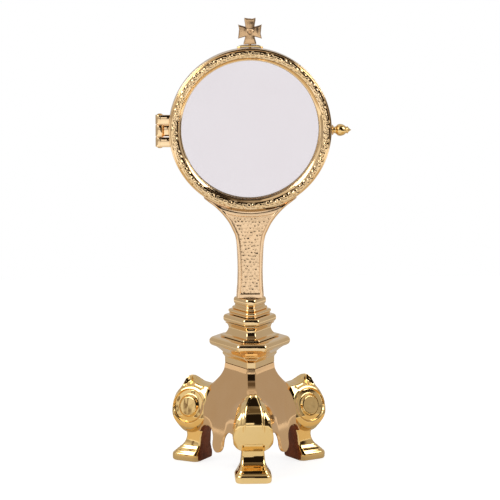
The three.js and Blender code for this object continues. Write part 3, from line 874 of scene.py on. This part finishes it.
def ring_profile():
    """Closed section of a case ring as (radius, distance from the case's middle plane)."""
    seam, lip, sight, rebate = 0.15, 4.5, 41.2, 43.6
    share = np.linspace(-1, 1, 44)[1:-1]
    drop = DOME["drop"] * np.abs(share) ** 1.3
    dome = np.column_stack([DOME["middle"] + DOME["half"] * share, DOME["height"] - drop])
    bevel = [[sight, lip], [sight, 5.05], [41.75, 5.2], [42.75, 6.15], [42.95, 6.35]]
    rim = [[47.15, 6.2], [47.35, 5.5], [48.2, 5.2], [CASE_R, 4.7], [CASE_R, seam]]
    bevel = rounded(bevel, [0, 0.2, 0.2, 0.15, 0], 3)
    rim = rounded(rim, [0, 0.2, 0.3, 0.35, 0], 3)
    return np.concatenate([bevel, dome, rim, [[rebate, seam], [rebate, lip - 0.02]]])


def case_ring_shape(sign):
    """The front half of the case (sign -1) or the rear half (sign 1), with chased scrolls on its dome."""
    profile = ring_profile()
    segments = 1680
    phi = np.linspace(0, 2 * math.pi, segments, endpoint=False)
    r = profile[:, 0][:, None] * np.ones_like(phi)
    on_dome = (profile[:, 0] > 42.9) & (profile[:, 0] < 47.2) & (profile[:, 1] > 5.6)
    window = smoothstep(43.05, 43.4, r) * smoothstep(47.1, 46.75, r) * on_dome[:, None]
    y = profile[:, 1][:, None] - scroll_relief(phi * np.ones_like(r), r) * window * RELIEF
    points = np.stack([r * np.sin(phi), sign * y, CASE_Z + r * np.cos(phi)], -1)
    return points.reshape(-1, 3), grid_faces(len(profile), segments, wrap_rows=True)


def box_shape(low, high, bevel):
    """A block with bevelled edges, lofted along z."""
    (x0, y0, z0), (x1, y1, z1) = low, high
    step = 0.3 * bevel
    rings = []
    lower = [(z0, bevel), (z0 + step, step), (z0 + bevel, 0)]
    upper = [(z1 - bevel, 0), (z1 - step, step), (z1, bevel)]
    for z, inset in lower + upper:
        left, right, near, far = x0 + inset, x1 - inset, y0 + inset, y1 - inset
        ring = rounded([[left, near], [right, near], [right, far], [left, far]], bevel, 3, closed=True)
        rings.append(np.column_stack([ring, np.full(len(ring), z)]))
    return closed_loft(rings)


def knuckle_shape(z0, z1, side):
    """A hinge knuckle with its arm, in front of the middle plane (side -1) or behind it (side 1)."""
    hole, radius, edge = 1.35, 2.6, 0.35
    half = (z1 - z0) / 2
    rise = [[hole, half - 0.15], [hole + 0.3, half], [radius - edge, half]]
    rise += [[radius - 0.1, half - 0.12], [radius, half - edge]]
    profile = [[r, -z] for r, z in rise] + rise[::-1]
    barrel = lathe(profile, [HINGE[0], 0, (z0 + z1) / 2], "z", 56)
    y0, y1 = sorted((side * 0.3, side * 2.58))
    arm_shape = box_shape([HINGE[0] + 0.2, y0, z0 + 0.02], [-46.6, y1, z1 - 0.02], 0.35)
    return barrel, arm_shape


def case_ring():
    """The rear half of the case, with the hinge's middle knuckle and the tab that takes the latch."""
    half = 3.45
    tab = box_shape([44.5, -2.0, LATCH_Z - 2.8], [46.3, 1.0, LATCH_Z + 2.8], 0.25)
    return merged(case_ring_shape(1), *knuckle_shape(HINGE[2] - half, HINGE[2] + half, 1), tab)


def door_bezel():
    """The front half of the case, with the hinge's upper and lower knuckles."""
    reach, lug = 3.75, 5.8
    upper = knuckle_shape(HINGE[2] + reach, HINGE[2] + reach + lug, -1)
    lower = knuckle_shape(HINGE[2] - reach - lug, HINGE[2] - reach, -1)
    return merged(case_ring_shape(-1), *upper, *lower)


def host_ring():
    """The inner ring, with a groove round its bore."""
    bore, groove, outside = 40.9, 42, 43.0
    profile = [[bore, -1.2], [outside, -1.2], [outside, 2.6], [bore, 2.6], [bore, 1.4], [groove, 1.2]]
    profile += [[groove, 0.2], [bore, 0.0]]
    return lathe(rounded(profile, 0.15, 3, closed=True), [0, 0, CASE_Z], "y", 480)


def pane_shape(node):
    """A round pane with its edges taken off."""
    low, high = local(node)
    y0, y1 = low[1], high[1]
    edge = 0.2
    profile = [[0.02, y0], [GLASS_R * 0.5, y0], [GLASS_R - edge, y0], [GLASS_R, y0 + edge]]
    profile += [[GLASS_R, y1 - edge], [GLASS_R - edge, y1], [GLASS_R * 0.5, y1], [0.02, y1]]
    return lathe(profile, [0, 0, CASE_Z], "y", 256)


# ---- Hinge pin and latch ----


def hinge_pin():
    """A pin with a domed head at each end."""
    z0, z1 = heights("hinge_pin")
    head = 1.5
    lower = [[0.02, z0 + 0.35], [0.8, z0 + 0.42], [1.25, z0 + 0.58], [head, z0 + 0.85]]
    lower += [[head, z0 + 1.0], [head - 0.1, z0 + 1.06], [1.0, z0 + 1.08]]
    upper = [[r, z0 + z1 - z] for r, z in lower[::-1]]
    return lathe(lower + upper, [HINGE[0], 0, 0], "z", 48)


def latch_knob():
    """The latch screw: a shank, and an acorn on a flared neck."""
    start, tip = 44.6, local("latch_knob")[1][0]
    shank = [[0.02, start], [1.0, start], [1.25, start + 0.3], [1.25, 49.9], [1.75, 49.95]]
    marks = [[50, 1.95], [50.8, 2.1], [51.3, 2.5], [52.2, 3.3], [53.6, 3.58], [55.2, 3.25], [56.4, 2.55]]
    marks += [[57.0, 2.0], [57.35, 1.85], [57.6, 2.15], [57.9, 2.2], [58.3, 1.75], [59.0, 0.95]]
    marks += [[59.7, 0.4], [tip, 0.02]]
    head = [[smooth_curve(marks, x), x] for x in np.linspace(50, tip, 60)]
    return lathe(shank + head, [0, 0, LATCH_Z], "x", 72)


def latch_washer():
    """A flared collar under the screw's head."""
    x0, x1 = [corner[0] for corner in local("latch_washer")]
    profile = [[1.6, x0], [2.9, x0], [3.1, x0 + 0.12], [3.1, x0 + 0.4], [2.75, x0 + 0.62]]
    profile += [[2.5, x1 - 0.08], [2.35, x1], [1.6, x1]]
    return lathe(rounded(profile, 0.1, 2, closed=True), [0, 0, LATCH_Z], "x", 72)


# ---- Cross ----

CROSS_TOP_ARM = 8.2
CROSS_Z = heights("cross")[1] - CROSS_TOP_ARM
CROSS_THICK = 1.45  # half the thickness of the arms


def cross_arm(length, end_half, neck_half, hollow, lobe=0.0):
    """A splayed arm along +Z, scooped a little along each side and near its end, which is hollowed. lobe
    is how far the tips draw in."""
    u = np.linspace(-1, 1, 25)
    rings = []
    for f in np.linspace(0, 1, 34):
        half = neck_half + (end_half - neck_half) * f**1.3
        x = u * (half - lobe * smoothstep(0.82, 1.0, f))
        z = f * (length - hollow * (1 - u**2))
        scoop = 0.1 * np.sin(math.pi * u**2) * smoothstep(0.05, 0.35, f)
        end_scoop = 0.12 * (1 - u**2) * smoothstep(0.55, 0.85, f) * smoothstep(1.0, 0.93, f)
        soft = np.sqrt(np.clip(1 - np.abs(u) ** 9, 0, 1)) * (1 - 0.4 * smoothstep(0.95, 1.0, f))
        depth = CROSS_THICK * (1 - scoop - end_scoop) * soft
        front = np.column_stack([x, -depth, z])
        back = np.column_stack([x, depth, z])[::-1][1:-1]
        rings.append(np.concatenate([front, back]))
    return closed_loft(rings)


def cross():
    """The cross pattee: four arms, a round boss in the middle, and a spigot down into its foot."""

    def placed(shape, degrees):
        points, faces = shape
        a = math.radians(degrees)
        x, y, z = np.asarray(points).T
        across = x * math.cos(a) + z * math.sin(a)
        upward = z * math.cos(a) - x * math.sin(a)
        return np.column_stack([across, y + CROSS_Y, upward + CROSS_Z]), faces

    arms = [
        placed(cross_arm(CROSS_TOP_ARM, 3.6, 2.4, 0.75, 0.22), 0),
        placed(cross_arm(7.1, 4.25, 2.5, 0.85), 90),
        placed(cross_arm(7.1, 4.25, 2.5, 0.85), -90),
        placed(cross_arm(7.55, 4.1, 2.3, 0.0, 0.22), 180),
    ]
    hub_side = [[0.02, 1.85], [0.55, 1.8], [0.75, 1.55], [1.1, 1.5], [1.75, 1.62], [2.1, 1.45]]
    hub = lathe([[r, -y] for r, y in hub_side] + hub_side[::-1], [0, CROSS_Y, CROSS_Z], "y", 40)
    spigot_side = [[0.02, CASE_Z + 46.5], [0.85, CASE_Z + 46.6], [0.85, CROSS_Z], [0.02, CROSS_Z]]
    return merged(*arms, hub, lathe(spigot_side, [0, CROSS_Y, 0], "z", 24))


def cross_foot():
    """A little saddle bent to the case's round, thick in the middle with feathered ends."""
    low, high = local("cross_foot")
    y0, y1 = low[1], high[1]
    top_z = high[2]
    rings = []
    for x in np.linspace(low[0], high[0], 41):
        under = CASE_Z + math.sqrt((CASE_R + 0.35) ** 2 - x * x)
        over = CASE_Z + math.sqrt((CASE_R + 2.15) ** 2 - x * x)
        over = min(over, top_z) - 0.9 * smoothstep(4.6, 7.6, abs(x))
        over = max(over, under + 0.25)
        inset = 0.3 + 0.6 * smoothstep(6.0, 7.6, abs(x))
        corners = [[y0 + inset, under], [y1 - inset, under], [y1 - inset, over], [y0 + inset, over]]
        ring = rounded(corners, min(0.35, (over - under) * 0.45), 3, closed=True)
        rings.append(np.column_stack([np.full(len(ring), x), ring]))
    return closed_loft(rings)


# ---- Assembly ----


def give_coppery_brown(made, picks_faces):
    """Gives the coppery brown to the faces that a test of their centres (mm) and normals picks: inside the
    base, and as painted shade on the feet.
    """
    made.data.materials.append(inside)
    faces = made.data.polygons
    centres = (np.array([face.center for face in faces]) - STEM_AT) / MM
    normals = np.array([face.normal for face in faces])
    faces.foreach_set("material_index", picks_faces(centres, normals).astype(int))


def build_base():
    """The casting, coppery brown inside, and its three feet, with painted shade in that brown on the faces
    low down that look inwards.
    """
    shell = piece("base_shell_finished", base_shell(), "base_shell", "stand", cast_gilt, "gilt_casting")
    give_coppery_brown(shell, lambda at, normal: ((normal * at)[:, :2].sum(1) < 0) | (np.abs(normal[:, 2]) > 0.97))
    foot = fused("foot", [scroll(), leg(), arm()])
    for corner, azimuth in FEET.items():
        node, shape = f"foot_{corner}", turned_shape(foot, azimuth)
        made = piece(node + "_finished", shape, node, "stand", polished, "gilt_casting", 32)
        out = directions(azimuth)[0]
        # painted shade: the feet's faces low down that look inwards take the coppery brown
        give_coppery_brown(made, lambda at, normal: (normal[:, :2] @ out < -0.8) & (at[:, 2] < 22))


def build_object():
    build_base()
    gilt_look, glass_look = (polished, "gilt_polished"), (glass, "clear_glass")
    ring_look = (engraved, "gilt_engraved")
    for maker in (neck_moulding, lower_plate, waist, upper_plate, stem_collar):
        node = maker.__name__
        piece(node + "_finished", maker(), node, "stand", knop_gilt, "gilt_polished", 50)
    piece("stem_finished", stem_blade(), "stem_blade", "stand", hammered, "gilt_hammered", 60)
    piece("case_ring_finished", case_ring(), "case_ring", "stand", *ring_look, 45)
    piece("door_bezel_finished", door_bezel(), "door_bezel", "door", *ring_look, 45)
    piece("host_ring_finished", host_ring(), "host_ring", "stand", *gilt_look)
    piece("rear_pane", pane_shape("rear_glass"), "rear_glass", "stand", *glass_look)
    piece("front_pane", pane_shape("front_glass"), "front_glass", "door", *glass_look)
    piece("hinge_pin_finished", hinge_pin(), "hinge_pin", "stand", brass, "plain_brass")
    piece("latch_knob_finished", latch_knob(), "latch_knob", "latch_screw", *gilt_look, 60)
    piece("latch_washer_finished", latch_washer(), "latch_washer", "latch_slide", *gilt_look)
    piece("cross_finished", cross(), "cross", "stand", cast_cross, "gilt_polished", 35)
    piece("cross_foot_finished", cross_foot(), "cross_foot", "stand", *gilt_look)


def finish_cad_nodes():
    """The hidden pieces keep their CAD shapes and take a worked material."""
    keep = {name: steel for name in ("tie_rod", "tie_washer", "tie_nut", "stem_screw_1", "stem_screw_2")}
    keep.update({f"foot_screw_{corner}": steel for corner in FEET})
    keep["glass_retainer"] = brass
    for name, material in keep.items():
        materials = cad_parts[name].data.materials
        materials.clear()
        materials.append(material)


# ---- Stage ----


def floor_material():
    """Pale card. In the metal it shows as a lit sweep: dimmer near the object and to its sides, as if the
    object shaded it, and paler far off. The camera sees it plain."""
    n = Nodes(bpy.data.materials.new("pale_floor"))
    shader = n.add("BsdfPrincipled")
    grey = n.mix_colour(n.noise(4, 2, 0.5), (0.28, 0.28, 0.28), (0.30, 0.30, 0.30))
    n.link(grey, shader.inputs["Base Color"])
    n.link(n.spread(n.noise(40, 2, 0.5), 0.3, 0.7, 0.6, 0.7), shader.inputs["Roughness"])
    n.link(n.bump(n.noise(300, 2, 0.5), 0.02, 0.0002), shader.inputs["Normal"])
    x, y, _ = n.split(n.add("TexCoord").outputs["Object"])
    bearing = n.math("ABSOLUTE", n.math("ARCTAN2", x, n.math("MULTIPLY", y, -1.0)))
    distance = n.math("POWER", n.math("ADD", n.math("MULTIPLY", x, x), n.math("MULTIPLY", y, y)), 0.5)
    aside = n.spread(bearing, math.radians(36), math.radians(50))
    behind = n.spread(bearing, math.radians(85), math.radians(105))
    beside = n.mix_colour(behind, (0.40, 0.27, 0.08), (0.25, 0.22, 0.18))
    near = n.mix_colour(aside, (0.54, 0.53, 0.50), beside)
    distant = n.mix_colour(behind, (0.84, 0.83, 0.81), (0.56, 0.52, 0.47))
    mirrored = n.mix_colour(n.spread(distance, 0.36, 0.48), near, distant)
    seen = n.add("LightPath").outputs["Is Camera Ray"]
    glow = n.add("Emission")
    n.link(n.mix_colour(seen, mirrored, (0.84, 0.84, 0.84)), glow.inputs["Color"])
    both = n.add("AddShader")
    n.link(shader.outputs[0], both.inputs[0])
    n.link(glow.outputs[0], both.inputs[1])
    return n.finish(both)


def floor():
    side, front, back, z = 0.6, -2.4, 0.7, -0.0002
    corners = [(-side, front, z), (side, front, z), (side, back, z), (-side, back, z)]
    mesh = bpy.data.meshes.new("floor")
    mesh.from_pydata(corners, [], [(0, 1, 2, 3)])
    mesh.materials.append(floor_material())
    made = bpy.data.objects.new("floor", mesh)
    bpy.context.scene.collection.objects.link(made)


def studio():
    """A white sweep to the sides and below, a dim ceiling and a dark room behind the camera with one
    lit window, as polished metal would mirror them. The camera itself sees plain white."""
    world = bpy.data.worlds.new("studio")
    bpy.context.scene.world = world
    n = Nodes(world, "OutputWorld")
    x, y, z = n.split(n.add("TexCoord").outputs["Generated"])
    turn = n.math("ARCTAN2", x, n.math("MULTIPLY", y, -1.0))
    azimuth = n.math("MULTIPLY", turn, 180 / math.pi)  # 0 is to the front, positive to the right
    elevation = n.math("MULTIPLY", n.math("ARCSINE", z), 180 / math.pi)
    shade = n.mix_colour(n.step(elevation, 32, 50), (0.47, 0.43, 0.39), (0.68, 0.62, 0.56))
    for left, right, low, high, colour, soft in (
        (-200, -140, -30, 60, (0.55, 0.53, 0.52), 8),  # the end wall behind the object
        (140, 200, -30, 60, (0.55, 0.53, 0.52), 8),
        (-62, 62, -99, 0, (0.95, 0.93, 0.90), 2),  # the white table before it
        (-90, -30, 6, 55, (0.85, 0.83, 0.80), 6),  # a large screen to the left
        (-74, -69, -5, 50, (0.25, 0.18, 0.12), 1.5),  # and its two struts
        (-58, -55, -5, 50, (0.20, 0.14, 0.10), 1.5),
        (-21, 48, 2, 56, (0.014, 0.010, 0.008), 3),  # the dark room
        (48, 84, 18, 70, (0.03, 0.02, 0.015), 3),
        (14, 62, -14, 10, (0.03, 0.02, 0.015), 3),
        (-28, 60, 56, 78, (0.12, 0.09, 0.06), 6),  # the ceiling over it
        (-15, 3, 4, 10, (1.2, 1.15, 1.1), 0.8),  # its lit window
        (-60, 60, 86, 99, (0.02, 0.015, 0.01), 3),  # a dark lamp hood overhead
    ):
        aside, upright = n.between(azimuth, left, right, soft), n.between(elevation, low, high, soft)
        shade = n.mix_colour(n.math("MULTIPLY", aside, upright), shade, colour)
    camera_ray = n.add("LightPath").outputs["Is Camera Ray"]
    shade = n.mix_colour(camera_ray, shade, (1.0, 1.0, 1.0))
    background = n.add("Background")
    n.link(shade, background.inputs["Color"])
    n.finish(background)


def softbox(name, location, size, power):
    """A square area light turned to the object."""
    light = bpy.data.lights.new(name, "AREA")
    light.energy = power
    light.size = size
    made = bpy.data.objects.new(name, light)
    bpy.context.scene.collection.objects.link(made)
    made.location = location
    made.rotation_euler = (Vector((0, 0, 0.12)) - Vector(location)).to_track_quat("-Z", "Y").to_euler()


def camera():
    """A long lens, a little above the case and to the left."""
    data = bpy.data.cameras.new("camera")
    data.sensor_width = 36
    data.lens = 182.8
    data.clip_end = 20
    made = bpy.data.objects.new("camera", data)
    bpy.context.scene.collection.objects.link(made)
    made.location = np.array([-68.6, -1498.4, 362.1]) * MM + STEM_AT
    made.rotation_euler = (math.radians(90 - 8.738), 0, math.radians(-2.62))
    bpy.context.scene.camera = made


build_object()
finish_cad_nodes()
floor()
studio()
softbox("key_left", (-0.9, -0.5, 0.9), 0.6, 6)
softbox("key_right", (0.9, -0.4, 0.8), 0.6, 5)
camera()

bpy.context.scene.view_settings.view_transform = "Standard"

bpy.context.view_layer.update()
